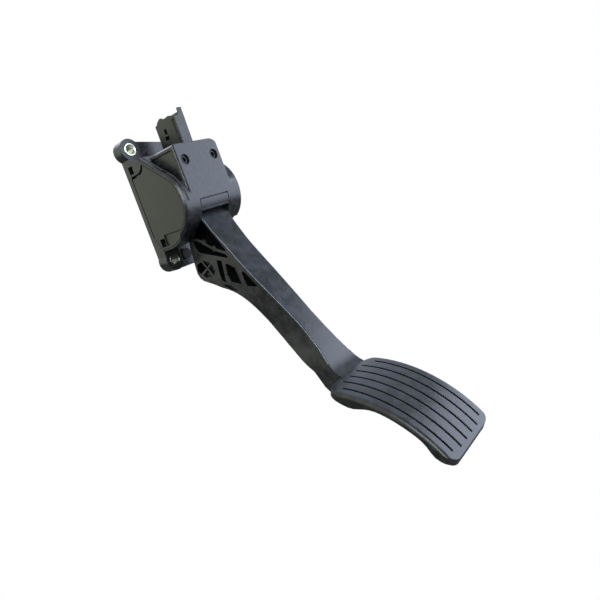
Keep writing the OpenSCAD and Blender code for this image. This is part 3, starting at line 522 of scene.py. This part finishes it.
# The corners to round have a front face and a flank, lie between the hub and the heel, and
# nothing of the arm stands in front of them.
least_corner = math.radians(50)
below_hub, above_heel = 0.006, 0.1425
step_in, step_out, step_up, clear_front = 0.0002, 0.0004, 0.0003, 0.2
bm.normal_update()
solid = BVHTree.FromBMesh(bm)
front_corners = []
for edge in bm.edges:
    normals = [face.normal for face in edge.link_faces]
    front = any(abs(n.x) < wall_turn and n.y < -front_turn for n in normals)
    flank = any(abs(n.x) > flank_turn for n in normals)
    between = all(below_hub < pivot.z - vert.co.z < above_heel for vert in edge.verts)
    if front and flank and between and edge.calc_face_angle(0) >= least_corner:
        middle = (edge.verts[0].co + edge.verts[1].co) / 2
        inward = math.copysign(step_in, pivot.x - middle.x)
        start = middle + Vector((inward, -step_out, step_up))
        if solid.ray_cast(start, Vector((0, -1, 0)), clear_front)[0] is None:
            front_corners.append(edge)
corner_round, corner_segments = 0.0010, 3
rounded = bmesh.ops.bevel(bm, geom=front_corners, offset=corner_round, offset_type="OFFSET",
                          segments=corner_segments, profile=0.5, affect="EDGES",
                          clamp_overlap=False, material=-1)["faces"]
bm.normal_update()
# The middle facets of the rounded front corners get the painted highlight.
facet_low, facet_high = 0.5, 0.87
for face in rounded:
    if facet_low < abs(face.normal.x) < facet_high:
        face.material_index = 1

# The faces of the pockets look at each other across a short way, and the web between the two
# sides lies in the arm's middle. These faces are painted near black as painted shade.
web_half, pocket_reach, pocket_foot, face_step = 0.0030, 0.030, 0.150, 0.00005
solid = BVHTree.FromBMesh(bm)
for face in bm.faces:
    centre = face.calc_center_median()
    on_web = abs(face.normal.x) > square_turn and abs(centre.x - pivot.x) < web_half
    hit = solid.ray_cast(centre + face.normal * face_step, face.normal, pocket_reach)[0]
    if (on_web or hit is not None) and centre.z > pivot.z - pocket_foot:
        face.material_index = 2
arm_nylon = moulded_plastic("arm_nylon", dark=(0.006, 0.006, 0.007), pale=(0.024, 0.025, 0.030),
                            rough=0.33, corner_highlight=(0.05, 0.055, 0.065), radius=0.0006,
                            clouds=110.0, swell=1.6, glaze=0.06)
# Painted highlight for the middle of the rounded front corners.
edge_highlight_paint = moulded_plastic("edge_highlight_paint", dark=(0.10, 0.115, 0.15), pale=(0.19, 0.21, 0.27),
                               rough=0.30, corner_highlight=(0.16, 0.18, 0.23), radius=0.0003,
                               clouds=60.0, swell=1.0)
# Painted shade for the faces inside the pockets and on the web.
pocket_shade_paint = moulded_plastic("pocket_shade_paint", dark=(0.0015, 0.0015, 0.0018),
                             pale=(0.004, 0.004, 0.0045), rough=0.7,
                             corner_highlight=(0.014, 0.015, 0.017), radius=0.0004, gloss=0.09)
arm = piece_of(bm, "pedal_arm", "moulding", "pedal", arm_nylon, edge_highlight_paint, pocket_shade_paint)

# The tread is a true arc and the arm's flanks draw in and out again in one sweep, so the
# light runs over both evenly: the tread takes the normals of its cylinder, and a flank those
# of the sweep through its half widths, which stand here by their drop below the pivot.
half_widths = ((0.044, 0.0122), (0.070, 0.0120), (0.107, 0.0099), (0.120, 0.0102),
               (0.131, 0.0113), (0.141, 0.0133), (0.148, 0.0140), (0.190, 0.0140))
slopes = [(b[1] - a[1]) / (b[0] - a[0]) for a, b in zip(half_widths, half_widths[1:])]
sweep = [(at[0], (before + after) / 2)
         for at, before, after in zip(half_widths[1:], slopes, slopes[1:])]
sweep_slack, flat_flank = 0.0001, 0.96


def flank_slope(drop):
    for (upper, first), (lower, last) in zip(sweep, sweep[1:]):
        if upper - sweep_slack <= drop <= lower + sweep_slack:
            return first + (last - first) * (drop - upper) / (lower - upper)


even = bpy.data.meshes.new_from_object(
    arm.evaluated_get(bpy.context.evaluated_depsgraph_get()))
normals = [Vector(corner.vector) for corner in even.corner_normals]
for polygon in even.polygons:
    for index in polygon.loop_indices:
        at = even.vertices[even.loops[index].vertex_index].co
        slope = flank_slope(pivot.z - at.z)
        if on_crown([at], polygon.normal):
            normals[index] = (Vector((0, at.y, at.z)) - crown_centre).normalized()
        elif slope is not None and abs(polygon.normal.x) > flat_flank:
            outward = math.copysign(1, polygon.normal.x)
            normals[index] = Vector((outward, 0, slope)).normalized()
arm.modifiers.clear()
arm.data = even
even.normals_split_custom_set(normals)

# The sintered magnet that the sensor reads turns with the arm. It sits in a small moulded
# holder that is clipped on the hub.
magnet_steel = worked_metal("sintered_magnet", colour=(0.16, 0.16, 0.17), rough=0.45,
                            scratch_scale=1400.0, stretched=(1, 1, 1))
finish_in(magnet_steel, "magnet")
finish_in(cover_nylon, "magnet_holder")

# The sensor board stands in front of the magnet, on posts of the carrier. It is glass
# laminate under green solder mask, and its chip is cast in black epoxy.
board = moulded_plastic("solder_mask", dark=(0.02, 0.12, 0.05), pale=(0.03, 0.17, 0.07),
                        rough=0.3, corner_highlight=(0.2, 0.25, 0.12), grain=0.03)
chip_epoxy = moulded_plastic("chip_epoxy", dark=(0.010, 0.010, 0.010),
                             pale=(0.016, 0.016, 0.016), rough=0.5,
                             corner_highlight=(0.03, 0.03, 0.03))
finish_in(board, "sensor_board")
finish_in(chip_epoxy, "sensor_chip")

# The sensor carrier drops in from above with the six-way socket: a moulded shroud, tinned
# brass blades and a rubber ring that keeps the water out.
brass = worked_metal("tinned_brass", colour=(0.80, 0.70, 0.48), rough=0.28,
                     scratch_scale=1200.0, stretched=(1, 1, 0.2))
finish_in(cover_nylon, "connector_body")
finish_in(brass, "terminals")
finish_in(rubber, "connector_seal")

# Two thread-forming screws in deep recesses of the front hold the carrier. They are
# blackened steel.
black_steel = worked_metal("black_screw_steel", colour=(0.022, 0.022, 0.024), rough=0.24,
                           scratch_scale=1400.0, stretched=(1, 1, 1))
finish_in(black_steel, "front_screw_left", "front_screw_right")

# Covers of the same nylon snap on and close the housing: the left cheek over the drum, a
# cap on the right end and a small one over the slot that the arm comes out of. The cheek
# cover is cut a little short at the rear, where its seam is widest.
rear_trim = 0.0006
bm = moulded_copy("cheek_cover")
bmesh.ops.bisect_plane(bm, geom=bm.verts[:] + bm.edges[:] + bm.faces[:], dist=cut_slack,
                       plane_co=(0, cheek_high.y - rear_trim, 0), plane_no=(0, 1, 0),
                       clear_outer=True)
closed(bm)
bm.normal_update()
# The side walls of the cheek cover get the painted shade of the seam.
for face in bm.faces:
    if abs(face.normal.x) < wall_turn:
        face.material_index = 1
piece_of(bm, "cheek_cover", "moulding", "carrier", cover_nylon, seam_shade_paint)
finish_in(nylon, "end_cap", "slot_cover")
